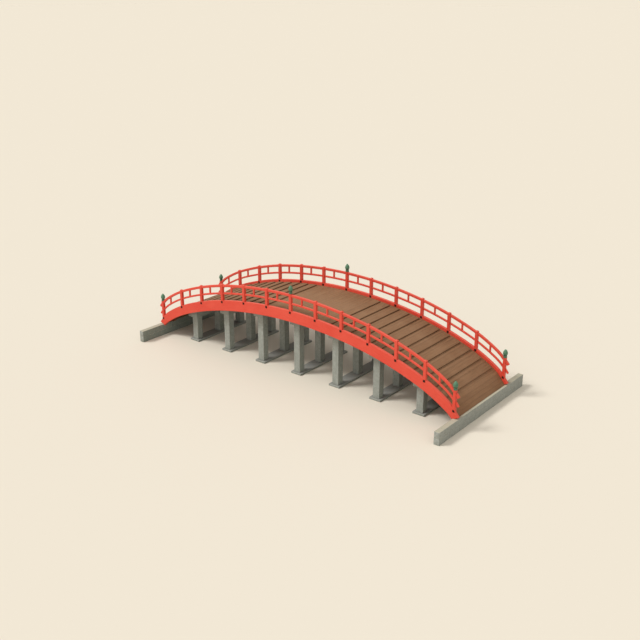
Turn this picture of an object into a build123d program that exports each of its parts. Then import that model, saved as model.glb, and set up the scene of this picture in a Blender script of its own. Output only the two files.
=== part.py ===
from build123d import *
import os
from math import asin, cos, radians, sin, sqrt, tan

# Red moon bridge: an arched timber footbridge on seven stone bents, at full size.
#
# Millimetres. +X runs along the bridge, +Y across it, +Z up. The origin is at mid-span on the
# bridge's centre line, at the water level on which the sills and the abutment walls stand.
#
# Everything curved follows one arch, the top edge of the side girders. Rails, deck and girder
# soffits are that arch lifted, lowered or offset.

# ---- the arch: arcs that tighten from the crown to the foot, each tangent to the next ----
ARCH_CROWN_Z = 3612          # top edge of the side girders at mid-span
ARCH_ARCS = [                # radius, and the x at which the arc passes into the next one
    (24090, 4336),
    (17820, 7590),
    (8170, 9170),
    (1850, 9600),            # from here on the foot of the arch runs straight
]
ARCH_END_X = 9860            # upper corner of a side girder's end

# ---- side girders and what lies between them ----
GIRDER_THICKNESS = 145
GIRDER_INNER_Y = 2280
GIRDER_DEPTH = 580           # measured plumb
GIRDER_END_BEVEL = 28        # degrees below level, from the upper corner inwards
GIRDER_Y = GIRDER_INNER_Y + GIRDER_THICKNESS / 2
INNER_GIRDER_WIDTH = 200
INNER_GIRDER_SEAT = 40       # how far the inner girders reach over the walls
DECK_DROP = 155              # deck surface below the girder's top edge, square to the arch
DECK_THICKNESS = 90
DECK_JOINT_X = 1860          # the three stretches of deck meet here

# ---- foot battens across the two slopes ----
BATTEN_WIDTH = 430
BATTEN_HEIGHT = 57
BATTEN_EASE = 8              # bevel of a batten's two top edges
BATTEN_END_GAP = 140         # short of each side girder
BATTEN_PITCH = 609.6
FIRST_BATTEN_X = 2136
BATTENS_A_SIDE = 12

# ---- railings ----
BAY = 1600
BAYS = 12
POST_SIZE = 150
POST_HEIGHT = 910            # above the girder's top edge
END_POST_HEIGHT = 970
POST_PEAK = 30               # the low pyramid that caps a plain post
POST_PEAK_SIZE = 30          # the flat left on top of it
TOP_RAIL_LIFT, TOP_RAIL_WIDTH, TOP_RAIL_HEIGHT = 812, 110, 138
MID_RAIL_LIFT, MID_RAIL_WIDTH, MID_RAIL_HEIGHT = 388, 80, 104
RAIL_HOUSING = 20            # how far a rail is let into a post
NOSING_LIFT = 70             # the short ends outside the end posts sit higher than the rails
NOSING_END_X = 9860          # upper corner of a nosing's end
FIRST_STRUT_X, STRUT_PITCH = -8945, 1611
STRUT_SIZE = 80
PLATE_WIDTH, PLATE_HEIGHT, PLATE_THICKNESS = 110, 112, 16
PLATE_DROP = 85              # centre of a plate below the girder's top edge
END_PLATE_DROP = 60          # under the end posts, where the edge falls steeply
PLATE_EASE = 4

# ---- onion finials ----
FINIAL_HEIGHT = 440
FINIAL_COLLAR_RADIUS = 95
FINIAL_NECK_RADIUS = 80
FINIAL_BULB_RADIUS = 118
TENON_RADIUS, TENON_HEIGHT = 45, 80
COLLAR_CLEARANCE = 1         # between a finial's collar and the rails beside it

# ---- stone bents ----
BENTS = 7
BENT_PITCH = 2503
SILL_WIDTH, SILL_HALF_LENGTH, SILL_HEIGHT = 665, 2020, 100
COLUMN_SIZE, COLUMN_CHAMFER = 380, 14
COLUMN_ROW_Y = 1725
CAP_WIDTH, CAP_HALF_LENGTH, CAP_DEPTH = 665, 2080, 305

# ---- abutment walls ----
WALL_FACE_X = 9580
WALL_THICKNESS = 280
WALL_HEIGHT = 643
WALL_HALF_LENGTH = 4010

OVERCUT = 300                # how far a cutting block reaches past what it cuts

POST_XS = [BAY * (i - BAYS / 2) for i in range(BAYS + 1)]
FINIAL_XS = [POST_XS[0], 0, POST_XS[-1]]
STRUT_XS = [FIRST_STRUT_X + STRUT_PITCH * i for i in range(BAYS)]


def linked_arcs():
    """Centre, radius and closing slope of each arc; each starts on the normal it is handed."""
    arcs = []
    centre_x, centre_z = 0, ARCH_CROWN_Z
    last_radius, slope = 0, 0
    for radius, end_x in ARCH_ARCS:
        centre_x += (last_radius - radius) * sin(slope)
        centre_z += (last_radius - radius) * cos(slope)
        slope = asin((end_x - centre_x) / radius)
        arcs.append((centre_x, centre_z, radius, slope))
        last_radius = radius
    return arcs


ARCS = linked_arcs()
FOOT_SLOPE = ARCS[-1][3]


class Curve:
    """The arch lifted plumb by `lift` and offset square to itself by `offset`."""

    def __init__(self, lift=0, offset=0):
        self.lift, self.offset = lift, offset
        self.joints = [x + (radius + offset) * sin(slope) for x, _, radius, slope in ARCS]

    def arc_at(self, x):
        """The arc over x, or None where the foot of the arch runs straight."""
        return next((arc for arc, end in zip(ARCS, self.joints) if abs(x) <= end), None)

    def z(self, x):
        arc = self.arc_at(x)
        if arc:
            centre_x, centre_z, radius, _ = arc
            return centre_z + self.lift + sqrt((radius + self.offset) ** 2 - (abs(x) - centre_x) ** 2)
        _, centre_z, radius, slope = ARCS[-1]
        foot_z = centre_z + self.lift + (radius + self.offset) * cos(slope)
        return foot_z - (abs(x) - self.joints[-1]) * tan(slope)

    def slope(self, x):
        """Angle of the curve below level on the way out from mid-span."""
        arc = self.arc_at(x)
        return asin((abs(x) - arc[0]) / (arc[2] + self.offset)) if arc else FOOT_SLOPE

    def edges(self, start, end):
        """Arcs and straight feet from x = start to x = end, split where they meet."""
        low, high = sorted((start, end))
        joints = sorted([-x for x in self.joints] + self.joints)
        stops = [low] + [x for x in joints if low < x < high] + [high]
        if start > end:
            stops.reverse()
        edges = []
        for a, b in zip(stops, stops[1:]):
            first, middle, last = [(x, self.z(x)) for x in (a, (a + b) / 2, b)]
            straight = self.arc_at(middle[0]) is None
            edges.append(Line(first, last) if straight else ThreePointArc(first, middle, last))
        return edges


EDGE = Curve()
SOFFIT = Curve(lift=-GIRDER_DEPTH)
DECK_TOP = Curve(offset=-DECK_DROP)
DECK_UNDERSIDE = Curve(offset=-DECK_DROP - DECK_THICKNESS)


def between(upper, lower, start, end, width, y=0):
    """A solid `width` thick, centred on y, between two curves with plumb ends."""
    outline = upper.edges(start, end) + lower.edges(end, start)
    outline += [Line((x, lower.z(x)), (x, upper.z(x))) for x in (start, end)]
    face = make_face(outline)
    return Pos(0, y, 0) * extrude(Plane.XZ * face, amount=width / 2, both=True)


def seated_ends(solid):
    """Cut a girder or deck level where it lies on top of the abutment walls."""
    wall_zone = Box(2 * (ARCH_END_X + OVERCUT), 2 * WALL_HALF_LENGTH, WALL_HEIGHT + OVERCUT,
                    align=(Align.CENTER, Align.CENTER, Align.MAX))
    return solid - Pos(0, 0, WALL_HEIGHT) * wall_zone


def bevelled_ends(solid):
    """Cut both ends on a bevel that falls inwards from the upper corner."""
    bevel = radians(GIRDER_END_BEVEL)
    for side in (-1, 1):
        corner = (side * ARCH_END_X, 0, EDGE.z(ARCH_END_X))
        cut = Plane(origin=corner, z_dir=(side * sin(bevel), 0, -cos(bevel)))
        solid = split(solid, bisect_by=cut, keep=Keep.BOTTOM)
    return solid


def side_girder(y):
    """A side girder, notched over the walls so that its heels hang in front of them."""
    reach = ARCH_END_X + OVERCUT
    full = between(EDGE, SOFFIT, -reach, reach, GIRDER_THICKNESS, y)
    return bevelled_ends(full) - [abutment(-1), abutment(1)]


def inner_girder(y):
    reach = WALL_FACE_X + INNER_GIRDER_SEAT
    return seated_ends(between(DECK_UNDERSIDE, SOFFIT, -reach, reach, INNER_GIRDER_WIDTH, y))


def deck(start, end):
    return seated_ends(between(DECK_TOP, DECK_UNDERSIDE, start, end, 2 * GIRDER_INNER_Y))


def batten(x):
    """A low wide board with eased top edges, hollowed underneath to sit on the curved deck."""
    half, ease = BATTEN_WIDTH / 2, BATTEN_EASE
    profile = make_face(Polyline(
        (-half, -ease), (-half, BATTEN_HEIGHT - ease), (-half + ease, BATTEN_HEIGHT),
        (half - ease, BATTEN_HEIGHT), (half, BATTEN_HEIGHT - ease), (half, -ease),
        close=True,
    ))
    slope = DECK_TOP.slope(x) * (1 if x > 0 else -1)
    seat = Plane(origin=(x, 0, DECK_TOP.z(x)), x_dir=(cos(slope), 0, -sin(slope)),
                 z_dir=(0, -1, 0))
    board = extrude(seat * profile, amount=GIRDER_INNER_Y - BATTEN_END_GAP, both=True)
    deck_under_it = between(DECK_TOP, DECK_UNDERSIDE, x - BATTEN_WIDTH, x + BATTEN_WIDTH,
                            2 * GIRDER_INNER_Y)
    return board - deck_under_it


def is_end(x):
    return x in (POST_XS[0], POST_XS[-1])


def post_top(x):
    return EDGE.z(x) + (END_POST_HEIGHT if is_end(x) else POST_HEIGHT)


def rails(lift, width, height, y):
    """One rail in lengths let into the posts, with a nosing outside each end post."""
    upper, lower = Curve(lift, height / 2), Curve(lift, -height / 2)
    nosing_upper = Curve(lift + NOSING_LIFT, height / 2)
    nosing_lower = Curve(lift + NOSING_LIFT, -height / 2)
    inset = POST_SIZE / 2 - RAIL_HOUSING
    lengths = [
        between(upper, lower, left + inset, right - inset, width, y)
        for left, right in zip(POST_XS, POST_XS[1:])
    ]
    for side in (-1, 1):
        start, end = side * (POST_XS[-1] + inset), side * (NOSING_END_X + height)
        nosing = between(nosing_upper, nosing_lower, start, end, width, y)
        end_corner = (side * NOSING_END_X, 0, nosing_upper.z(NOSING_END_X))
        square_cut = Plane(origin=end_corner, z_dir=(side * cos(FOOT_SLOPE), 0, -sin(FOOT_SLOPE)))
        lengths.append(split(nosing, bisect_by=square_cut, keep=Keep.BOTTOM))
    collars = [
        Pos(x, y, post_top(x)) * Cylinder(FINIAL_COLLAR_RADIUS + COLLAR_CLEARANCE, FINIAL_HEIGHT,
                                          align=(Align.CENTER, Align.CENTER, Align.MIN))
        for x in FINIAL_XS
    ]
    return [length - collars for length in lengths]


def post(x, y, rail_lengths):
    """A post cut to the girder's slope, housed for its rails and capped or tenoned on top."""
    half = POST_SIZE / 2
    top = post_top(x)
    outline = EDGE.edges(x - half, x + half) + [
        Line((x + half, EDGE.z(x + half)), (x + half, top)),
        Line((x + half, top), (x - half, top)),
        Line((x - half, top), (x - half, EDGE.z(x - half))),
    ]
    shaft = Pos(0, y, 0) * extrude(Plane.XZ * make_face(outline), amount=half, both=True)
    if x in FINIAL_XS:
        on_top = Cylinder(TENON_RADIUS, TENON_HEIGHT, align=(Align.CENTER, Align.CENTER, Align.MIN))
    else:
        flat = Rectangle(POST_PEAK_SIZE, POST_PEAK_SIZE)
        on_top = loft([Rectangle(POST_SIZE, POST_SIZE), Pos(0, 0, POST_PEAK) * flat])
    whole = shaft + Pos(x, y, top) * on_top
    touching = [
        length for length in rail_lengths
        if length.bounding_box().min.X < x + half and length.bounding_box().max.X > x - half
    ]
    return whole - touching


def strut(x, y):
    half = STRUT_SIZE / 2
    under_top_rail = Curve(TOP_RAIL_LIFT, -TOP_RAIL_HEIGHT / 2)
    on_mid_rail = Curve(MID_RAIL_LIFT, MID_RAIL_HEIGHT / 2)
    return between(under_top_rail, on_mid_rail, x - half, x + half, STRUT_SIZE, y)


def plate(x, y, outward):
    """A bolted iron strap on one face of the girder, under a post, cut off at the girder's edge."""
    block = Box(PLATE_WIDTH, PLATE_THICKNESS, PLATE_HEIGHT)
    block = chamfer(block.faces().sort_by(Axis.Y)[-1 if outward > 0 else 0].edges(), PLATE_EASE)
    face_y = y + outward * (GIRDER_THICKNESS + PLATE_THICKNESS) / 2
    drop = END_PLATE_DROP if is_end(x) else PLATE_DROP
    below_edge = between(EDGE, SOFFIT, x - PLATE_WIDTH, x + PLATE_WIDTH, GIRDER_THICKNESS, face_y)
    return Pos(x, face_y, EDGE.z(x) - drop) * block & below_edge


def finial(x, y):
    """A bronze giboshi: banded collar, waist and an egg-shaped bulb with a short tip."""
    collar, neck, bulb = FINIAL_COLLAR_RADIUS, FINIAL_NECK_RADIUS, FINIAL_BULB_RADIUS
    band, groove, collar_top, waist = 22, 7, 96, 122
    belly, shoulder, shoulder_radius = 225, 368, 66
    outline = Polyline(
        (TENON_RADIUS, TENON_HEIGHT), (TENON_RADIUS, 0), (collar, 0), (collar, band),
        (collar - groove, band + 5), (collar - groove, collar_top - band),
        (collar, collar_top - band + 5), (collar, collar_top), (neck, collar_top + 12), (neck, waist),
    )
    swell = Spline((neck, waist), (bulb, belly), (shoulder_radius, shoulder), (0, FINIAL_HEIGHT),
                   tangents=((1.0, 0.35), (-0.55, 1.0)))
    closing = Polyline((0, FINIAL_HEIGHT), (0, TENON_HEIGHT), (TENON_RADIUS, TENON_HEIGHT))
    half_section = make_face(outline.edges() + swell.edges() + closing.edges())
    return Pos(x, y, post_top(x)) * revolve(Plane.XZ * half_section, axis=Axis.Z)


def sill(x):
    block = Box(SILL_WIDTH, 2 * SILL_HALF_LENGTH, SILL_HEIGHT,
                align=(Align.CENTER, Align.CENTER, Align.MIN))
    return Pos(x, 0, 0) * block


def cap_bottom(x):
    return SOFFIT.z(x) - CAP_DEPTH


def column(x, y):
    height = cap_bottom(x) - SILL_HEIGHT
    shaft = Box(COLUMN_SIZE, COLUMN_SIZE, height, align=(Align.CENTER, Align.CENTER, Align.MIN))
    shaft = chamfer(shaft.edges().filter_by(Axis.Z), COLUMN_CHAMFER)
    return Pos(x, y, SILL_HEIGHT) * shaft


def cap(x):
    """A crosshead whose top is dressed to the soffit of the girders."""
    half = CAP_WIDTH / 2
    low = cap_bottom(x)
    outline = SOFFIT.edges(x - half, x + half) + [
        Line((x + half, SOFFIT.z(x + half)), (x + half, low)),
        Line((x + half, low), (x - half, low)),
        Line((x - half, low), (x - half, SOFFIT.z(x - half))),
    ]
    return extrude(Plane.XZ * make_face(outline), amount=CAP_HALF_LENGTH, both=True)


def abutment(side):
    block = Box(WALL_THICKNESS, 2 * WALL_HALF_LENGTH, WALL_HEIGHT,
                align=(Align.CENTER, Align.CENTER, Align.MIN))
    return Pos(side * (WALL_FACE_X + WALL_THICKNESS / 2), 0, 0) * block


def save(name, *solids):
    shape = solids[0] if len(solids) == 1 else Compound(children=list(solids))
    export_step(shape, f"parts/{name}.step")


os.makedirs("parts", exist_ok=True)

save("west_abutment", abutment(-1))
save("east_abutment", abutment(1))

for number in range(1, BENTS + 1):
    bent_x = BENT_PITCH * (number - (BENTS + 1) / 2)
    save(f"bent_{number}_sill", sill(bent_x))
    save(f"bent_{number}_columns", *[column(bent_x, y) for y in (-COLUMN_ROW_Y, 0, COLUMN_ROW_Y)])
    save(f"bent_{number}_cap", cap(bent_x))

save("south_inner_girder", inner_girder(-COLUMN_ROW_Y))
save("centre_girder", inner_girder(0))
save("north_inner_girder", inner_girder(COLUMN_ROW_Y))

deck_end = WALL_FACE_X + WALL_THICKNESS
save("west_deck", deck(-deck_end, -DECK_JOINT_X))
save("crown_deck", deck(-DECK_JOINT_X, DECK_JOINT_X))
save("east_deck", deck(DECK_JOINT_X, deck_end))

for name, side in (("west", -1), ("east", 1)):
    xs = [side * (FIRST_BATTEN_X + BATTEN_PITCH * i) for i in range(BATTENS_A_SIDE)]
    save(f"{name}_battens", *[batten(x) for x in xs])

for name, side in (("south", -1), ("north", 1)):
    y = side * GIRDER_Y
    top_rails = rails(TOP_RAIL_LIFT, TOP_RAIL_WIDTH, TOP_RAIL_HEIGHT, y)
    mid_rails = rails(MID_RAIL_LIFT, MID_RAIL_WIDTH, MID_RAIL_HEIGHT, y)
    save(f"{name}_side_girder", side_girder(y))
    save(f"{name}_top_rail", *top_rails)
    save(f"{name}_mid_rail", *mid_rails)
    save(f"{name}_posts", *[post(x, y, top_rails + mid_rails) for x in POST_XS])
    save(f"{name}_struts", *[strut(x, y) for x in STRUT_XS])
    save(f"{name}_finials", *[finial(x, y) for x in FINIAL_XS])
    save(f"{name}_iron_plates", *[plate(x, y, out) for x in POST_XS for out in (-1, 1)])
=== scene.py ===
import random
from math import asin, ceil, copysign, cos, pi, radians, sin, tan

import bmesh
import bpy
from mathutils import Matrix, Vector, noise


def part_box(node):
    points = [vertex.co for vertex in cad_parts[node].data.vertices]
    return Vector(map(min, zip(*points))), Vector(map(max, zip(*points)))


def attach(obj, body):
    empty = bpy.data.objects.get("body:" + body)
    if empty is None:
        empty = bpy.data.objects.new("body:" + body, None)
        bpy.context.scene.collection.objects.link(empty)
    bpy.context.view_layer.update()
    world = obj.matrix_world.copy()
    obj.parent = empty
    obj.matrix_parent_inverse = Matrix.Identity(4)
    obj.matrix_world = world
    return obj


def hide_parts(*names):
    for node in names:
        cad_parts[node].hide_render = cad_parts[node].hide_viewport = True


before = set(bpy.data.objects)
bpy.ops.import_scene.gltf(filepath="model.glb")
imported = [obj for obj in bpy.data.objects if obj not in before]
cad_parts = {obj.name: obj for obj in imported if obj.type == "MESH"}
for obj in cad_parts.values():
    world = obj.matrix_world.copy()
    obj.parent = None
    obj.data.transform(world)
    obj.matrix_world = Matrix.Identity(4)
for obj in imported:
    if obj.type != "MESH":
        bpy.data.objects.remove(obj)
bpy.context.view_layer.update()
draw = random.Random(7)
noise.seed_set(7)              # left unseeded, noise_vector changes with the clock

# ---------------------------------------------------------------- driving dimensions, metres
# The arch is the top edge of the side girders: arcs that tighten from the crown to the foot,
# each tangent to the next, as (radius, x where it ends). The last one is all but straight.
CROWN_Z = 3.612
ARCH_ARCS = [(24.09, 4.336), (17.82, 7.590), (8.17, 9.170), (1.85, 9.600), (400.0, 10.2)]

girder_low, girder_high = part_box("south_side_girder")
wall_low, wall_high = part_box("east_abutment")
END_X = girder_high.x
GIRDER_Y = -(girder_low.y + girder_high.y) / 2
GIRDER_THICKNESS = girder_high.y - girder_low.y
GIRDER_INNER_Y = -girder_high.y
GIRDER_DEPTH = 0.580
GIRDER_END_BEVEL = radians(28)
BEVEL_STARTS_X = 9.300
WALL_FACE_X = wall_low.x
WALL_TOP = wall_high.z

DECK_DROP = 0.155
DECK_THICKNESS = 0.090
DECK_END_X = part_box("east_deck")[1].x
DECK_JOINT_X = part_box("crown_deck")[1].x
PLANK_PITCH = 0.212
PLANK_GAP = 0.003
PLANK_END_GAP = 0.006
PLANK_UNEVENNESS = 0.0015

BAY = 1.600
POST_XS = [BAY * i for i in range(-6, 7)]
FINIAL_XS = [POST_XS[0], 0.0, POST_XS[-1]]
POST_SIZE = 0.150
POST_HEIGHT = 0.910
END_POST_HEIGHT = 0.970
POST_PEAK = (0.030, 0.22)      # height, and the share of the width that is left at its tip
# A rail is its lift above the arch, its width, its height and the rounding of its edges.
TOP_RAIL = (0.812, 0.110, 0.138, 0.024)
MID_RAIL = (0.388, 0.080, 0.104, 0.019)
TENON = 0.015                  # how far rails and struts are let into their neighbours
NOSING_LIFT = 0.070
NOSING_END_X = 9.860
FIRST_STRUT_X = -8.945
STRUT_PITCH = 1.611
STRUT_XS = [FIRST_STRUT_X + STRUT_PITCH * i for i in range(12)]
STRUT_SIZE = 0.080
PLATE = (0.110, 0.112, 0.016)  # width, height, thickness
PLATE_DROP = 0.085
END_PLATE_DROP = 0.060
BOLT = (0.012, 0.009)          # radius, height
BOLT_RISES = (-0.030, 0.018)

BATTEN = (0.430, 0.057)        # width, height
BATTEN_HALF_LENGTH = 2.140
FIRST_BATTEN_X = 2.136
BATTEN_PITCH = 0.6096
BATTEN_XS = [FIRST_BATTEN_X + BATTEN_PITCH * i for i in range(12)]
PEG_YS = (-1.95, -1.15, -0.38, 0.38, 1.15, 1.95)

BENT_PITCH = 2.503
BENT_XS = [BENT_PITCH * i for i in range(-3, 4)]
COLUMN_ROW_Y = 1.725
BLOCKS_TO_A_COURSE = 9
MORTAR_JOINT = 0.008
MORTAR_RECESS = 0.015
CAP_PAINTED_SHADE = 3.0                # painted shade: the crossheads, in the girders' shadow, are darker than any other stone, whose shades are 0 to 1

ALONG = Vector((1, 0, 0))
SIDE = Vector((0, 1, 0))
UP = Vector((0, 0, 1))


# ---------------------------------------------------------------- the arch
def linked_arcs():
    """Centre x and z, radius, opening and closing slope of each arc."""
    arcs = []
    centre_x, centre_z, last_radius, slope = 0.0, CROWN_Z, 0.0, 0.0
    for radius, end_x in ARCH_ARCS:
        centre_x += (last_radius - radius) * sin(slope)
        centre_z += (last_radius - radius) * cos(slope)
        opening, slope = slope, asin((end_x - centre_x) / radius)
        arcs.append((centre_x, centre_z, radius, opening, slope))
        last_radius = radius
    return arcs


ARCS = linked_arcs()


def on_arch(slope, offset=0.0, lift=0.0):
    """The arch's point and outward normal where it falls at `slope`, offset square, lifted plumb."""
    steep = abs(slope)
    centre_x, centre_z, radius, *_ = next((arc for arc in ARCS if steep <= arc[4]), ARCS[-1])
    x = copysign(centre_x + (radius + offset) * sin(steep), slope)
    z = centre_z + (radius + offset) * cos(steep) + lift
    return Vector((x, 0, z)), Vector((sin(slope), 0, cos(slope)))


def slope_at(x, offset=0.0):
    """The arch's slope where the curve offset by `offset` stands at x."""
    centre_x, _, radius, *_ = next(
        (arc for arc in ARCS if abs(x) <= arc[0] + (arc[2] + offset) * sin(arc[4])), ARCS[-1])
    return copysign(asin((abs(x) - centre_x) / (radius + offset)), x)


def arch_z(x, offset=0.0):
    return on_arch(slope_at(x, offset), offset)[0].z


def length_to(slope, offset):
    """Length of the offset curve from the crown to where it falls at `slope`."""
    steep = abs(slope)
    run = sum((radius + offset) * (min(steep, closing) - opening)
              for _, _, radius, opening, closing in ARCS if steep > opening)
    return copysign(run, slope)


def slope_after(length, offset):
    """The slope of the offset curve at `length` from the crown."""
    left = abs(length)
    for _, _, radius, opening, closing in ARCS:
        run = (radius + offset) * (closing - opening)
        if left <= run:
            break
        left -= run
    return copysign(opening + left / (radius + offset), length)


def steps(start, end, spacing):
    """Even places from start to end, at most `spacing` apart and at least three."""
    count = max(2, ceil(abs(end - start) / spacing))
    return [start + (end - start) * i / count for i in range(count + 1)]


# ---------------------------------------------------------------- mesh making
ARRIS_MARGIN = 0.012           # flat beside a rounded corner
END_MARGIN = 0.015             # flat beside the rounded end of a bar


def eased(corners, ease, margin=ARRIS_MARGIN):
    """A closed outline with rounded corners, as (across, up, arris) points.

    Beside each rounded corner lies a point of the flat, so the wear stays on the arris.
    """
    outline = []
    count = len(corners)
    for i, corner in enumerate(corners):
        here = Vector(corner)
        back = (Vector(corners[i - 1]) - here).normalized()
        on = (Vector(corners[(i + 1) % count]) - here).normalized()
        first, last = here + back * ease, here + on * ease
        middle = here * 0.4 + (first + last) * 0.3
        outline.append((*(here + back * (ease + margin)), 0.0))
        outline += [(*first, 1.0), (*middle, 1.0), (*last, 1.0)]
        outline.append((*(here + on * (ease + margin)), 0.0))
    return outline


def rectangle(width, height, ease=0.006):
    w, h = width / 2, height / 2
    ease = min(ease, w / 2, h / 2)
    margin = min(ARRIS_MARGIN, w / 3, h / 3)
    return eased([(-w, -h), (w, -h), (w, h), (-w, h)], ease, margin)


def lengths_along(path):
    """The path's length up to each of its stations."""
    along = [0.0]
    for one, two in zip(path, path[1:]):
        along.append(along[-1] + (two[0] - one[0]).length)
    return along


def ring_places(along, ease):
    """Where a bar's rings stand, as (length, whether the ring is drawn in, arris)."""
    total = along[-1]
    margin = min(END_MARGIN, total / 8)
    clear = ease + 2 * margin
    opening = [(0.0, True, 1.0), (ease, False, 1.0), (ease + margin, False, 0.0)]
    between = [(s, False, 0.0) for s in along if clear < s < total - clear]
    closing = [(total - s, drawn_in, arris_and_shade) for s, drawn_in, arris_and_shade in reversed(opening)]
    return opening + between + closing


def station_at(path, along, s):
    """Centre, across, up and outline at length s of the path."""
    i = max(k for k in range(len(along) - 1) if along[k] <= s or k == 0)
    share = (s - along[i]) / (along[i + 1] - along[i])
    centre, across, up = (path[i][n].lerp(path[i + 1][n], share) for n in range(3))
    return centre, across, up, path[i if share < 0.5 else i + 1][3]


class Piece:
    """Gathers bars and turned shapes into one mesh.

    Each vertex keeps its place along, across and up its own board, for the grain, and whether it
    is on an arris; a few pieces give the same value to paint shade. Each board has its own shade.
    """

    def __init__(self):
        self.points, self.faces = [], []
        self.grain, self.shade, self.arris_and_shade = [], [], []

    def ring(self, points, grain, arris_and_shade, shade):
        start = len(self.points)
        self.points += points
        self.grain += grain
        self.arris_and_shade += arris_and_shade
        self.shade += [shade] * len(points)
        return list(range(start, len(self.points)))

    def skin(self, rings):
        """Faces from ring to ring, and one across each end."""
        for one, two in zip(rings, rings[1:]):
            count = len(one)
            for i in range(count):
                j = (i + 1) % count
                self.faces.append((one[i], one[j], two[j], two[i]))
        self.faces.append(tuple(reversed(rings[0])))
        self.faces.append(tuple(rings[-1]))

    def bar(self, path, ease=0.006, rough=0.0, floor=None, shade=None, peak=None):
        """A bar along stations (centre, across, up, outline), with eased ends.

        `rough` is how far the surface wanders, `floor` the lowest a point may lie, and `peak` the
        height and narrowing of a pyramid on its last end.
        """
        shade = draw.random() if shade is None else shade
        seed = Vector([draw.uniform(0, 40) for _ in range(3)])
        along = lengths_along(path)
        rings = []
        for s, drawn_in, end_arris in ring_places(along, ease):
            centre, across, up, outline = station_at(path, along, s)
            scale_u = 1 - ease / max(abs(u) for u, _, _ in outline) if drawn_in else 1
            scale_v = 1 - ease / max(abs(v) for _, v, _ in outline) if drawn_in else 1
            points = [centre + across * u * scale_u + up * v * scale_v for u, v, _ in outline]
            if rough:
                points = [p + noise.noise_vector(p * 3.1 + seed) * rough for p in points]
            if floor is not None:
                points = [Vector((p.x, p.y, max(p.z, floor))) for p in points]
            grain = [Vector((s, u, v)) + seed for u, v, _ in outline]
            rings.append(self.ring(points, grain, [max(a, end_arris) for *_, a in outline], shade))
        if peak:
            height, share = peak
            centre, across, up, outline = path[-1]
            tip = centre + (centre - path[-2][0]).normalized() * height
            points = [tip + (across * u + up * v) * share for u, v, _ in outline]
            far = along[-1] + height
            grain = [Vector((far, u * share, v * share)) + seed for u, v, _ in outline]
            rings.append(self.ring(points, grain, [0.6] * len(outline), shade))
        self.skin(rings)

    def turned(self, base, axis, profile, sides):
        """A turned shape on `base`, from (radius, height, arris) points along `axis`."""
        shade = draw.random()
        seed = Vector([draw.uniform(0, 40) for _ in range(3)])
        across = axis.orthogonal().normalized()
        up = axis.cross(across)
        rings = []
        for radius, height, arris_and_shade in profile:
            turns = [2 * pi * i / sides for i in range(sides)]
            spokes = [across * cos(t) + up * sin(t) for t in turns]
            points = [base + axis * height + spoke * radius for spoke in spokes]
            grain = [Vector((height, cos(t) * radius, sin(t) * radius)) + seed for t in turns]
            rings.append(self.ring(points, grain, [arris_and_shade] * sides, shade))
        self.skin(rings)

    def finish(self, name, slot, *replaced):
        mesh = bpy.data.meshes.new(name)
        mesh.from_pydata([tuple(p) for p in self.points], [], self.faces)
        for label, kind, field, values in (
            ("grain", "FLOAT_VECTOR", "vector", [c for g in self.grain for c in g]),
            ("shade", "FLOAT", "value", self.shade),
            ("arris_and_shade", "FLOAT", "value", self.arris_and_shade),
        ):
            mesh.attributes.new(label, kind, "POINT").data.foreach_set(field, values)
        shell = bmesh.new()
        shell.from_mesh(mesh)
        bmesh.ops.recalc_face_normals(shell, faces=shell.faces)
        shell.to_mesh(mesh)
        shell.free()
        mesh.shade_smooth()
        mesh.materials.append(MATERIALS[slot])
        piece = bpy.data.objects.new(name, mesh)
        bpy.context.scene.collection.objects.link(piece)
        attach(piece, "root")
        if replaced:
            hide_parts(*replaced)
        return piece


# ---------------------------------------------------------------- materials
class Paint:
    """A material's node tree. Each call adds one node and gives back an output."""

    def __init__(self, name):
        self.material = bpy.data.materials.new(name)
        self.material.use_nodes = True
        self.tree = self.material.node_tree
        self.shader = self.tree.nodes["Principled BSDF"]

    def put(self, socket, value):
        if isinstance(value, bpy.types.NodeSocket):
            self.tree.links.new(value, socket)
        else:
            socket.default_value = value

    def add(self, kind, inputs, output=0, **settings):
        node = self.tree.nodes.new("ShaderNode" + kind)
        for key, value in settings.items():
            setattr(node, key, value)
        for key, value in inputs.items():
            self.put(node.inputs[key], value)
        return node.outputs[output]

    def kept(self, name, output="Fac"):
        return self.add("Attribute", {}, output, attribute_name=name)

    def place(self):
        return self.add("NewGeometry", {}, "Position")

    def facing(self):
        return self.add("NewGeometry", {}, "Normal")

    def stretch(self, vector, factors):
        return self.add("Mapping", {"Vector": vector, "Scale": factors})

    def cloud(self, vector, scale, detail=3.0, rough=0.5, twist=0.0):
        return self.add("TexNoise", {"Vector": vector, "Scale": scale, "Detail": detail,
                                     "Roughness": rough, "Distortion": twist})

    def spread(self, value, low, high, bottom=0.0, top=1.0):
        return self.add("MapRange", {"Value": value, "From Min": low, "From Max": high,
                                     "To Min": bottom, "To Max": top})

    def maths(self, operation, one, two=0.0):
        return self.add("Math", {0: one, 1: two}, operation=operation)

    def part(self, vector, axis):
        return self.add("SeparateXYZ", {"Vector": vector}, axis)

    def mix(self, factor, one, two):
        one, two = ((*c, 1) if isinstance(c, tuple) else c for c in (one, two))
        return self.add("Mix", {0: factor, 6: one, 7: two}, 2, data_type="RGBA")

    def bump(self, height, distance, strength):
        return self.add("Bump", {"Height": height, "Distance": distance, "Strength": strength})

    def close(self, colour, roughness, normal=None, metallic=0.0, specular=0.5):
        self.put(self.shader.inputs["Base Color"], colour)
        self.put(self.shader.inputs["Roughness"], roughness)
        if normal is not None:
            self.put(self.shader.inputs["Normal"], normal)
        self.put(self.shader.inputs["Metallic"], metallic)
        self.put(self.shader.inputs["Specular IOR Level"], specular)
        return self.material


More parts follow.
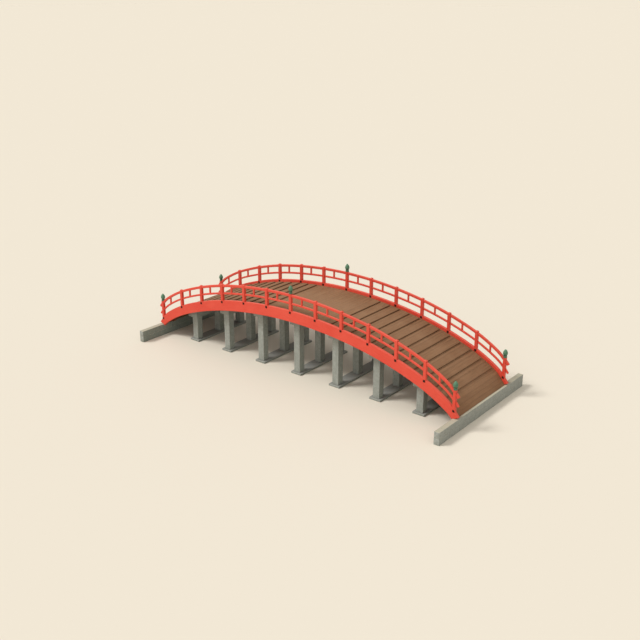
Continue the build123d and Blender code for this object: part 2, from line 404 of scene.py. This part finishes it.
def vermilion():
    """Red paint on timber: clouded, brushed along the grain, rubbed through on the arrises, and
    painted paler on its tops as painted light.
    """
    p = Paint("vermilion_paint")
    grain, place = p.kept("grain", "Vector"), p.place()
    weather = p.cloud(place, 0.55, 4, 0.6)
    brush = p.cloud(p.stretch(grain, (2.5, 45, 45)), 1.0, 3, 0.6)
    colour = p.mix(p.spread(weather, 0.35, 0.68), (0.645, 0.050, 0.026), (0.705, 0.076, 0.043))
    colour = p.mix(p.spread(brush, 0.40, 0.75, 0, 0.35), colour, (0.76, 0.120, 0.078))
    shade = p.spread(p.kept("shade"), 0, 1, 0.0, 0.16)
    colour = p.mix(shade, colour, (0.54, 0.040, 0.022))
    # Painted light: faces that look up are painted paler, standing for the light that falls on them
    # from above.
    painted_light_from_above = p.part(p.facing(), "Z")
    colour = p.mix(p.spread(painted_light_from_above, 0.2, 0.9, 0, 0.17), colour, (0.80, 0.190, 0.130))
    grime = p.spread(p.cloud(place, 2.3, 5, 0.7), 0.56, 0.80, 0, 0.35)
    colour = p.mix(grime, colour, (0.45, 0.045, 0.025))
    rub = p.maths("MULTIPLY", p.kept("arris_and_shade"), p.spread(p.cloud(place, 9.0, 4, 0.65), 0.56, 0.68))
    colour = p.mix(p.maths("MULTIPLY", rub, 0.55), colour, (0.33, 0.10, 0.055))
    height = p.maths("ADD", p.maths("MULTIPLY", brush, 0.7), p.maths("MULTIPLY", rub, -0.8))
    roughness = p.spread(weather, 0.3, 0.7, 0.42, 0.60)
    return p.close(colour, roughness, p.bump(height, 0.0012, 0.6), specular=0.35)


def timber(name, dark, pale, worn, walked=0.0, edges=0.35, spread=0.42):
    """Weathered boards: long grain, a shade for each, dark pores and arrises, worn in patches.

    Where people walk it is paler along the middle. Below 1.2 m it is painted a little darker, a
    painted shade for the steep foot of the slope, which turns away from the light.
    """
    p = Paint(name)
    grain, place = p.kept("grain", "Vector"), p.place()
    figure = p.cloud(p.stretch(grain, (1.1, 13, 13)), 1.0, 5, 0.62, 0.8)
    pores = p.cloud(p.stretch(grain, (7, 150, 150)), 1.0, 3, 0.6)
    colour = p.mix(p.spread(figure, 0.30, 0.70), dark, pale)
    colour = p.mix(p.spread(p.kept("shade"), 0, 1, 0, spread), colour, dark)
    colour = p.mix(p.spread(pores, 0.50, 0.72, 0, 0.35), colour, tuple(c * 0.45 for c in dark))
    colour = p.mix(p.spread(p.cloud(place, 0.8, 4, 0.6), 0.45, 0.75, 0, 0.40), colour, worn)
    # Dark arrises; on the foot battens the same mix paints shade down their sides and along the edges
    # of their tops.
    colour = p.mix(p.maths("MULTIPLY", p.kept("arris_and_shade"), edges), colour, tuple(c * 0.5 for c in dark))
    if walked:
        middle = p.spread(p.maths("ABSOLUTE", p.part(place, "Y")), 0.4, 1.9, walked, 0.0)
        colour = p.mix(middle, colour, worn)
        # Painted shade: below 1.2 m the boards are painted darker, where the steep slope turns from
        # the light.
        darker_low_down = p.spread(p.part(place, "Z"), 0.95, 1.20, 0.15, 0.0)
        colour = p.mix(darker_low_down, colour, dark)
    height = p.maths("ADD", figure, p.maths("MULTIPLY", pores, 0.5))
    return p.close(colour, p.spread(figure, 0.3, 0.7, 0.62, 0.80), p.bump(height, 0.003, 0.7),
                   specular=0.25)


def stone(name, dark, pale, speck, painted_top_light, painted_end_shade):
    """Dressed granite: speckled, clouded and streaked by rain, a little darker at its foot.

    Its tops are painted paler, as painted light. Faces that look along the bridge are painted darker
    and a little green, as painted shade, but for the walls' land sides.
    """
    p = Paint(name)
    place = p.place()
    specks = p.cloud(place, 95, 2, 0.7)
    mottle = p.cloud(place, 7, 5, 0.65)
    broad = p.cloud(p.stretch(place, (1.3, 1.3, 0.5)), 1.0, 4, 0.6)
    streak = p.cloud(p.stretch(place, (9, 9, 0.7)), 1.0, 3, 0.6)
    colour = p.mix(p.spread(mottle, 0.32, 0.70), dark, pale)
    colour = p.mix(p.spread(broad, 0.40, 0.72, 0, 0.40), colour, dark)
    colour = p.mix(p.spread(specks, 0.56, 0.66, 0, 0.55), colour, speck)
    colour = p.mix(p.spread(specks, 0.40, 0.30, 0, 0.30), colour, tuple(c * 1.35 for c in pale))
    colour = p.mix(p.spread(streak, 0.52, 0.80, 0, 0.35), colour, tuple(c * 0.6 for c in dark))
    colour = p.mix(p.spread(p.kept("shade"), 0, 4, 0, 0.88), colour, dark)
    painted_light_from_above = p.part(p.facing(), "Z")
    end_on = p.spread(p.maths("ABSOLUTE", p.part(p.facing(), "X")), 0.6, 0.9)
    reach = p.maths("ABSOLUTE", p.part(place, "X"))
    over_pond = p.spread(reach, WALL_FACE_X + 0.1, WALL_FACE_X + 0.2, 1, 0)
    shaded_end_faces = p.maths("MULTIPLY", end_on, over_pond)
    # Painted light: faces that look up are painted paler, as where the light falls on them.
    colour = p.mix(p.spread(painted_light_from_above, 0.6, 0.9, 0, 0.8), colour, painted_top_light)
    # Painted shade: faces that look along the bridge, on the columns and on the walls' pond sides, are
    # painted darker and a little green, where they stand in shade.
    colour = p.mix(p.maths("MULTIPLY", shaded_end_faces, painted_end_shade), colour, (0.110, 0.150, 0.110))
    rise = p.maths("ADD", p.part(place, "Z"), p.spread(broad, 0, 1, -0.20, 0.20))
    # A little darker towards the foot, below about 0.3 m.
    darker_low_down = p.spread(rise, 0.00, 0.30, 0.08, 0)
    colour = p.mix(darker_low_down, colour, (dark[0] * 0.50, dark[1] * 0.56, dark[2] * 0.48))
    height = p.maths("ADD", mottle, p.maths("MULTIPLY", specks, 0.35))
    return p.close(colour, 0.82, p.bump(height, 0.006, 0.7), specular=0.25)


def verdigris():
    """Cast bronze gone green, streaked paler where rain runs and rubbed on the ridges, with painted
    shade near black in the neck, the grooves and under the bulb.
    """
    p = Paint("verdigris_bronze")
    place = p.place()
    bloom = p.cloud(place, 14, 5, 0.65)
    drip = p.cloud(p.stretch(place, (40, 40, 5)), 1.0, 4, 0.6)
    colour = p.mix(p.spread(bloom, 0.32, 0.68), (0.036, 0.112, 0.062), (0.095, 0.222, 0.122))
    colour = p.mix(p.spread(drip, 0.48, 0.75, 0, 0.55), colour, (0.15, 0.29, 0.185))
    rub = p.maths("MULTIPLY", p.kept("arris_and_shade"), p.spread(bloom, 0.40, 0.62, 0.2, 0.8))
    colour = p.mix(rub, colour, (0.130, 0.112, 0.055))
    # Painted shade: where the value is below 0, in the neck, the grooves and under the bulb, the
    # bronze is painted near black.
    colour = p.mix(p.spread(p.kept("arris_and_shade"), 0, -1, 0, 0.8), colour, (0.016, 0.026, 0.016))
    metal = p.spread(rub, 0.2, 0.8, 0.05, 0.55)
    return p.close(colour, p.spread(bloom, 0.3, 0.7, 0.50, 0.70), p.bump(bloom, 0.002, 0.6), metal)


def black_iron():
    """Wrought iron under worn black paint, with a little rust."""
    p = Paint("black_iron")
    place = p.place()
    pit = p.cloud(place, 60, 4, 0.7)
    rust = p.spread(p.cloud(place, 18, 5, 0.7), 0.56, 0.74, 0, 0.65)
    colour = p.mix(rust, (0.036, 0.009, 0.005), (0.110, 0.026, 0.012))
    return p.close(colour, p.spread(rust, 0, 0.65, 0.60, 0.85), p.bump(pit, 0.0015, 0.6),
                   specular=0.15)


MATERIALS = {
    "vermilion_wood": vermilion(),
    "deck_wood": timber("deck_timber", (0.176, 0.085, 0.038), (0.297, 0.157, 0.076),
                        (0.323, 0.187, 0.104), walked=0.35, edges=0.12, spread=0.30),
    "batten_wood": timber("batten_timber", (0.163, 0.078, 0.035), (0.284, 0.150, 0.073),
                          (0.310, 0.178, 0.098), walked=0.25),
    "girder_wood": timber("girder_timber", (0.120, 0.050, 0.026), (0.200, 0.095, 0.050),
                          (0.220, 0.120, 0.070)),
    "pier_stone": stone("pier_granite", (0.250, 0.260, 0.228), (0.352, 0.367, 0.327),
                        (0.115, 0.118, 0.108), (0.298, 0.291, 0.264), 0.18),
    "abutment_stone": stone("wall_granite", (0.270, 0.279, 0.246), (0.378, 0.390, 0.350),
                            (0.150, 0.140, 0.120), (0.450, 0.420, 0.305), 0.50),
    "finial_bronze": verdigris(),
    "black_iron": black_iron(),
}


# ---------------------------------------------------------------- bents and abutment walls
def stone_bent(number, x):
    """Sill, three columns and crosshead of one bent."""
    label = f"bent_{number}"
    low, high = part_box(f"{label}_sill")
    width, height, reach = high.x - low.x, high.z, high.y
    outline = rectangle(width, height, ease=0.012)
    sill = Piece()
    sill.bar([(Vector((x, y, height / 2)), ALONG, UP, outline)
              for y in steps(-reach, reach, 0.25)], ease=0.012, rough=0.003, floor=0.0)
    sill.finish(f"{label}_footing", "pier_stone", f"{label}_sill")

    low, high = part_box(f"{label}_columns")
    size = high.x - low.x
    outline = rectangle(size, size, ease=0.014)
    columns = Piece()
    for y in (-COLUMN_ROW_Y, 0, COLUMN_ROW_Y):
        columns.bar([(Vector((x, y, z)), ALONG, SIDE, outline)
                     for z in steps(low.z, high.z, 0.22)], ease=0.008, rough=0.0025)
    columns.finish(f"{label}_pillars", "pier_stone", f"{label}_columns")

    low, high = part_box(f"{label}_cap")
    half = (high.x - low.x) / 2
    tops = [arch_z(x + side * half) - GIRDER_DEPTH - low.z for side in (-1, 1)]
    middle = arch_z(x) - GIRDER_DEPTH - low.z
    corners = [(-half, 0), (half, 0), (half, tops[1]), (0, middle), (-half, tops[0])]
    mid = middle / 2
    outline = eased([(u, v - mid) for u, v in corners], ease=0.012)
    cap = Piece()
    # Painted shade: the crosshead is darkened, as it stands in the shadow of the girders.
    cap.bar([(Vector((x, y, low.z + mid)), ALONG, UP, outline)
             for y in steps(low.y, high.y, 0.3)],
            ease=0.014, rough=0.002, shade=CAP_PAINTED_SHADE + draw.random())
    cap.finish(f"{label}_crosshead", "pier_stone", f"{label}_cap")


def abutment_wall(name):
    """Two courses of dressed blocks, the joints staggered, round a core of mortar."""
    low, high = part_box(name)
    x, width = (low.x + high.x) / 2, high.x - low.x
    block = (high.y - low.y) / BLOCKS_TO_A_COURSE
    course, half_joint = high.z / 2, MORTAR_JOINT / 2
    outline = rectangle(width, course - half_joint, ease=0.010)
    wall = Piece()
    for row in (0, 1):
        joints = [low.y + block * (i + 1 - row / 2) for i in range(BLOCKS_TO_A_COURSE - 1 + row)]
        cuts = [low.y, *joints, high.y]
        for start, end in zip(cuts, cuts[1:]):
            wall.bar([(Vector((x, y, course * (row + 0.5))), ALONG, UP, outline)
                      for y in steps(start + half_joint, end - half_joint, 0.2)],
                     ease=0.010, rough=0.003, floor=0.0)
    wall.finish(f"{name}_blocks", "abutment_stone", name)
    core = Piece()
    outline = rectangle(width - 2 * MORTAR_RECESS, high.z - 0.02)
    core.bar([(Vector((x, y, high.z / 2)), ALONG, UP, outline)
              for y in (low.y + MORTAR_RECESS, 0, high.y - MORTAR_RECESS)])
    core.finish(f"{name}_mortar", "abutment_stone")


for number, x in enumerate(BENT_XS, 1):
    stone_bent(number, x)
for name in ("west_abutment", "east_abutment"):
    abutment_wall(name)


# ---------------------------------------------------------------- girders
def side_girder_underside(x):
    """The soffit, then the bevel of the end, notched where the wall stands."""
    bevel = arch_z(END_X) - (END_X - abs(x)) * tan(GIRDER_END_BEVEL)
    over_wall = WALL_TOP if abs(x) > WALL_FACE_X else 0.0
    return max(arch_z(x) - GIRDER_DEPTH, bevel, over_wall)


def inner_girder_underside(x):
    return max(arch_z(x) - GIRDER_DEPTH, WALL_TOP)


def long_girder(name, node, y, reach_x, top_offset, underside, thickness, slot):
    """A girder from end to end, with closer stations over its bevels and notches."""
    half = steps(0, BEVEL_STARTS_X, 0.2)[1:] + steps(BEVEL_STARTS_X, reach_x, 0.03)[1:]
    # The notch over the wall needs a station on each side of its step.
    half = sorted(half + [x for x in (WALL_FACE_X - 0.001, WALL_FACE_X + 0.001) if x < reach_x])
    path = []
    for x in [-x for x in reversed(half)] + [0.0] + half:
        top, bottom = arch_z(x, top_offset), underside(x)
        height = max(top - bottom, 0.002)
        outline = rectangle(thickness, height, ease=0.012)
        path.append((Vector((x, y, top - height / 2)), SIDE, UP, outline))
    piece = Piece()
    piece.bar(path, ease=0.004, shade=0.3)
    piece.finish(name, slot, node)


for name, side in (("south", -1), ("north", 1)):
    long_girder(f"{name}_arch_girder", f"{name}_side_girder", side * GIRDER_Y, END_X, 0.0,
                side_girder_underside, GIRDER_THICKNESS, "vermilion_wood")
inner_low, inner_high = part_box("centre_girder")
for name, y in (("south_inner_girder", -COLUMN_ROW_Y), ("centre_girder", 0.0),
                ("north_inner_girder", COLUMN_ROW_Y)):
    long_girder(f"{name}_beam", name, y, inner_high.x, -DECK_DROP - DECK_THICKNESS,
                inner_girder_underside, inner_high.y - inner_low.y, "girder_wood")


# ---------------------------------------------------------------- deck and foot battens
def plank_path(slope, offset, half_length, outline, lift):
    """Stations across the bridge, for a board whose middle lies `lift` off the offset arch."""
    top, up = on_arch(slope, offset)
    across = SIDE.cross(up)
    centre = top + up * lift
    return [(centre + SIDE * y, across, up, outline) for y in steps(-half_length, half_length, 0.4)]


def deck(name, start_x, end_x):
    """Planks side by side along the arch, their faces and ends a little uneven."""
    start, end = (length_to(slope_at(x, -DECK_DROP), -DECK_DROP) for x in (start_x, end_x))
    count = round(abs(end - start) / PLANK_PITCH)
    pitch = (end - start) / count
    planks = Piece()
    for i in range(count):
        slope = slope_after(start + pitch * (i + 0.5), -DECK_DROP)
        outline = rectangle(abs(pitch) - PLANK_GAP, DECK_THICKNESS, ease=0.005)
        lift = -DECK_THICKNESS / 2 + draw.uniform(-PLANK_UNEVENNESS, PLANK_UNEVENNESS)
        half_length = GIRDER_INNER_Y - PLANK_END_GAP - draw.uniform(0, PLANK_END_GAP)
        planks.bar(plank_path(slope, -DECK_DROP, half_length, outline, lift),
                   ease=0.004, rough=0.001, floor=WALL_TOP)
    planks.finish(f"{name}_planks", "deck_wood", name)


deck("west_deck", -DECK_END_X, -DECK_JOINT_X)
deck("crown_deck", -DECK_JOINT_X, DECK_JOINT_X)
deck("east_deck", DECK_JOINT_X, DECK_END_X)


# A turned profile is a list of (radius, height, arris), where a value below 0 is painted shade.
PEG_PROFILE = [(0.016, -0.006, 0), (0.016, 0.0015, 0.5), (0.014, 0.003, 0.5), (0.002, 0.0035, 0)]


def batten_outline():
    """Eased, with painted shade: dark down its two sides and a little darker along the edges of its
    top, for the shade on its risers and at their feet.
    """
    width, height = BATTEN
    half, edge = width / 2, 0.08
    outline = []
    for u, v, arris_and_shade in rectangle(width, height, ease=0.010):
        on_side = abs(u) > half - 0.001 and arris_and_shade == 0
        beside_edge = v > height / 2 - 0.001 and arris_and_shade == 0
        if beside_edge and u < 0:
            outline.append((edge - half, v, 0.0))
        # Painted shade: the sides get 2 and the edges of the top 0.7, which the timber paints dark.
        outline.append((u, v, 2.0 if on_side else 0.7 if beside_edge else arris_and_shade))
        if beside_edge and u > 0:
            outline.append((half - edge, v, 0.0))
    return outline


def foot_battens(name, side):
    """The battens of one half, pegged to the deck."""
    height = BATTEN[1]
    outline = batten_outline()
    boards, pegs = Piece(), Piece()
    for x in BATTEN_XS:
        slope = slope_at(side * x, -DECK_DROP)
        boards.bar(plank_path(slope, -DECK_DROP, BATTEN_HALF_LENGTH, outline, height / 2),
                   ease=0.008, rough=0.0015)
        top, up = on_arch(slope, -DECK_DROP + height)
        for y in PEG_YS:
            pegs.turned(top + SIDE * y, up, PEG_PROFILE, 12)
    boards.finish(f"{name}_foot_battens", "batten_wood", f"{name}_battens")
    pegs.finish(f"{name}_batten_pegs", "batten_wood")


foot_battens("west", -1)
foot_battens("east", 1)


# ---------------------------------------------------------------- railings
def red_shade():
    """How dark the paint of one railing timber is, out of 1."""
    return draw.uniform(0.1, 0.6)


def rail(piece, start_x, end_x, kind, y, rise=0.0):
    """One bent length of rail."""
    lift, width, height, rounding = kind
    outline = rectangle(width, height, rounding)
    path = []
    for x in steps(start_x, end_x, 0.12):
        point, up = on_arch(slope_at(x), 0.0, lift + rise)
        path.append((point + SIDE * y, SIDE, up, outline))
    piece.bar(path, shade=red_shade())


def rails(name, node, kind, y):
    """A length in each bay, let into the posts, and one past each end post, a little higher."""
    inset = POST_SIZE / 2 - TENON
    piece = Piece()
    for left, right in zip(POST_XS, POST_XS[1:]):
        rail(piece, left + inset, right - inset, kind, y)
    # The nosing is cut square, so its upper corner reaches further out than its middle.
    corner = kind[2] / 2 * sin(ARCS[-1][3])
    for side in (-1, 1):
        start_x, end_x = POST_XS[-1] + inset, NOSING_END_X - corner
        rail(piece, side * start_x, side * end_x, kind, y, NOSING_LIFT)
    piece.finish(name, "vermilion_wood", node)


def post_height(x):
    return END_POST_HEIGHT if x in (POST_XS[0], POST_XS[-1]) else POST_HEIGHT


def post(piece, x, y):
    """A post whose foot follows the girder, with a low pyramid on top unless a finial stands there."""
    slope = slope_at(x)
    foot, height = arch_z(x), post_height(x)
    outline = rectangle(POST_SIZE, POST_SIZE, ease=0.009)
    fall = Vector((1, 0, -tan(slope)))
    path = [(Vector((x, y, foot)), SIDE, fall, outline)]
    path += [(Vector((x, y, foot + height * share)), SIDE, ALONG, outline)
             for share in (0.16, 0.36, 0.56, 0.78, 1.0)]
    peak = None if x in FINIAL_XS else POST_PEAK
    piece.bar(path, ease=0.005, shade=red_shade(), peak=peak)


def strut(piece, x, y):
    """A strut let into the middle rail below and the top rail above."""
    low = on_arch(slope_at(x), MID_RAIL[2] / 2, MID_RAIL[0])[0].z - TENON
    high = on_arch(slope_at(x), -TOP_RAIL[2] / 2, TOP_RAIL[0])[0].z + TENON
    outline = rectangle(STRUT_SIZE, STRUT_SIZE)
    piece.bar([(Vector((x, y, z)), SIDE, ALONG, outline) for z in steps(low, high, 0.1)],
              ease=0.004, shade=red_shade())


def finial_profile():
    """Giboshi: banded collar, waist, and an egg-shaped bulb with a short tip."""
    collar, neck, bulb, belly, tip = 0.095, 0.080, 0.118, 0.225, 0.440
    # A third value of -1 is painted shade, in the collar's grooves and the neck.
    profile = [(0.045, 0.0, 0), (collar - 0.004, 0.0, 1), (collar, 0.004, 1), (collar, 0.018, 1),
               (collar - 0.003, 0.022, -1), (collar - 0.007, 0.026, -1), (collar - 0.007, 0.034, 0),
               (collar - 0.007, 0.062, 0), (collar - 0.007, 0.070, -1), (collar - 0.003, 0.074, -1),
               (collar, 0.078, 1), (collar, 0.092, 1), (collar - 0.004, 0.097, 0.5),
               (neck + 0.002, 0.102, -1), (neck - 0.001, 0.112, -1), (neck, 0.122, -1),
               (neck + 0.004, 0.126, -1), (neck + 0.004, 0.132, -1)]
    # The lower bulb fades from painted shade to none.
    for i in range(9):
        turn = pi / 2 * i / 8
        profile.append((neck + 0.004 + (bulb - neck - 0.004) * sin(turn),
                        belly - (belly - 0.136) * cos(turn), min(0, i / 3 - 1)))
    for i in range(1, 15):
        rise = i / 14
        profile.append((bulb * max(0.0, 1 - rise ** 1.95) ** 0.92 + 0.001,
                        belly + (tip - belly) * rise, 0))
    return profile


def cut_below(corners, level, fall):
    """The part of an outline below the line that stands at `level` over 0 and falls with u."""
    kept = []
    for one, two in zip(corners, corners[1:] + corners[:1]):
        under, under_next = (level - fall * u - v for u, v in (one, two))
        if under >= 0:
            kept.append(one)
        if under * under_next < 0:
            share = under / (under - under_next)
            kept.append(tuple(a + (b - a) * share for a, b in zip(one, two)))
    return kept


def bolt_profile():
    """A round head on its washer."""
    radius, height = BOLT
    washer, seat = 1.5 * radius, 0.005
    return [(washer, -0.004, 0), (washer, 0.003, 1), (washer - 0.002, seat, 1), (radius, seat, 0),
            (radius * 0.95, seat + height * 0.5, 1), (radius * 0.6, seat + height * 0.9, 0),
            (radius * 0.15, seat + height, 0)]


def strap_plate(plates, bolts, x, y, face):
    """A bolted strap on the girder under a post, cut off at the girder's edge."""
    width, height, thickness = PLATE
    drop = END_PLATE_DROP if x in (POST_XS[0], POST_XS[-1]) else PLATE_DROP
    w, h = width / 2, height / 2
    corners = cut_below([(-w, -h), (w, -h), (w, h), (-w, h)], drop, tan(slope_at(x)))
    outline = eased(corners, ease=0.004, margin=0.006)
    face_y = y + face * GIRDER_THICKNESS / 2
    middle = Vector((x, face_y, arch_z(x) - drop))
    plates.bar([(middle + SIDE * face * out, ALONG, UP, outline)
                for out in (0, thickness)], ease=0.003)
    for rise in BOLT_RISES:
        bolts.turned(middle + Vector((0, face * thickness, rise)), SIDE * face, bolt_profile(), 12)


def railing(name, side):
    """Everything that stands on one side girder."""
    y = side * GIRDER_Y
    rails(f"{name}_handrail", f"{name}_top_rail", TOP_RAIL, y)
    rails(f"{name}_middle_rail", f"{name}_mid_rail", MID_RAIL, y)
    posts, struts, finials, plates, bolts = (Piece() for _ in range(5))
    for x in POST_XS:
        post(posts, x, y)
    for x in POST_XS:
        for face in (-1, 1):
            strap_plate(plates, bolts, x, y, face)
    for x in STRUT_XS:
        strut(struts, x, y)
    for x in FINIAL_XS:
        finials.turned(Vector((x, y, arch_z(x) + post_height(x))), UP, finial_profile(), 48)
    posts.finish(f"{name}_railing_posts", "vermilion_wood", f"{name}_posts")
    struts.finish(f"{name}_railing_struts", "vermilion_wood", f"{name}_struts")
    finials.finish(f"{name}_giboshi", "finial_bronze", f"{name}_finials")
    plates.finish(f"{name}_strap_plates", "black_iron", f"{name}_iron_plates")
    bolts.finish(f"{name}_strap_bolts", "black_iron")


railing("south", -1)
railing("north", 1)


# ---------------------------------------------------------------- floor, light and camera
BACKGROUND = (0.888, 0.807, 0.665)
FLOOR = (0.747, 0.684, 0.573)
FLOOR_REACH = 900
AMBIENT = (1.0, 0.98, 0.95)
AMBIENT_STRENGTH = 0.53
CAMERA_AZIMUTH = radians(38.587)
CAMERA_ELEVATION = radians(20.601)
CAMERA_TARGET = Vector((0, 0, 2.4256))
CAMERA_DISTANCE = 46.608
LENS = 49.75


def studio_floor():
    """A pale floor at the water level, wide enough to reach the horizon."""
    mesh = bpy.data.meshes.new("studio_floor")
    corners = [(u * FLOOR_REACH, v * FLOOR_REACH, 0) for u, v in ((-1, -1), (1, -1), (1, 1), (-1, 1))]
    mesh.from_pydata(corners, [], [(0, 1, 2, 3)])
    floor = bpy.data.objects.new("studio_floor", mesh)
    bpy.context.scene.collection.objects.link(floor)
    paint = Paint("pale_floor")
    mesh.materials.append(paint.close((*FLOOR, 1), 1.0, specular=0.0))


def ambient_light():
    """An even sky that the camera and mirrors see as the photo's background."""
    scene = bpy.context.scene
    world = bpy.data.worlds.new("studio")
    scene.world = world
    world.use_nodes = True
    tree = world.node_tree
    tree.nodes.clear()
    path = tree.nodes.new("ShaderNodeLightPath")
    seen = tree.nodes.new("ShaderNodeMath")
    seen.operation = "MAXIMUM"
    also = tree.nodes.new("ShaderNodeMath")
    also.operation = "MAXIMUM"
    ambient = tree.nodes.new("ShaderNodeBackground")
    ambient.inputs["Color"].default_value = (*AMBIENT, 1)
    ambient.inputs["Strength"].default_value = AMBIENT_STRENGTH
    shown = tree.nodes.new("ShaderNodeBackground")
    shown.inputs["Color"].default_value = (*BACKGROUND, 1)
    mix = tree.nodes.new("ShaderNodeMixShader")
    output = tree.nodes.new("ShaderNodeOutputWorld")
    tree.links.new(path.outputs["Is Camera Ray"], seen.inputs[0])
    tree.links.new(path.outputs["Is Glossy Ray"], seen.inputs[1])
    tree.links.new(seen.outputs[0], also.inputs[0])
    tree.links.new(path.outputs["Is Transmission Ray"], also.inputs[1])
    tree.links.new(also.outputs[0], mix.inputs[0])
    tree.links.new(ambient.outputs[0], mix.inputs[1])
    tree.links.new(shown.outputs[0], mix.inputs[2])
    tree.links.new(mix.outputs[0], output.inputs[0])


def soft_lamp(name, energy, spread, towards):
    """A distant lamp whose disc is `spread` degrees wide, standing in the direction `towards`."""
    lamp = bpy.data.lights.new(name, "SUN")
    lamp.energy = energy
    lamp.angle = radians(spread)
    holder = bpy.data.objects.new(name, lamp)
    bpy.context.scene.collection.objects.link(holder)
    holder.rotation_mode = "QUATERNION"
    holder.rotation_quaternion = Vector(towards).to_track_quat("Z", "Y")


def place_camera():
    """A camera that looks at the middle of the bridge from the south-east, a little above it."""
    level = cos(CAMERA_ELEVATION)
    back = Vector((sin(CAMERA_AZIMUTH) * level, -cos(CAMERA_AZIMUTH) * level, sin(CAMERA_ELEVATION)))
    lens = bpy.data.cameras.new("camera")
    lens.lens = LENS
    lens.sensor_width = 36
    lens.clip_end = 5000
    camera = bpy.data.objects.new("camera", lens)
    bpy.context.scene.collection.objects.link(camera)
    camera.location = CAMERA_TARGET + back * CAMERA_DISTANCE
    camera.rotation_mode = "QUATERNION"
    camera.rotation_quaternion = back.to_track_quat("Z", "Y")
    bpy.context.scene.camera = camera


studio_floor()
ambient_light()
soft_lamp("key_light", energy=2.06, spread=16, towards=(-0.478, -0.455, 0.751))
soft_lamp("fill_light", energy=0.80, spread=100, towards=(0.45, -0.60, 0.66))
place_camera()
bpy.context.scene.view_settings.view_transform = "Standard"
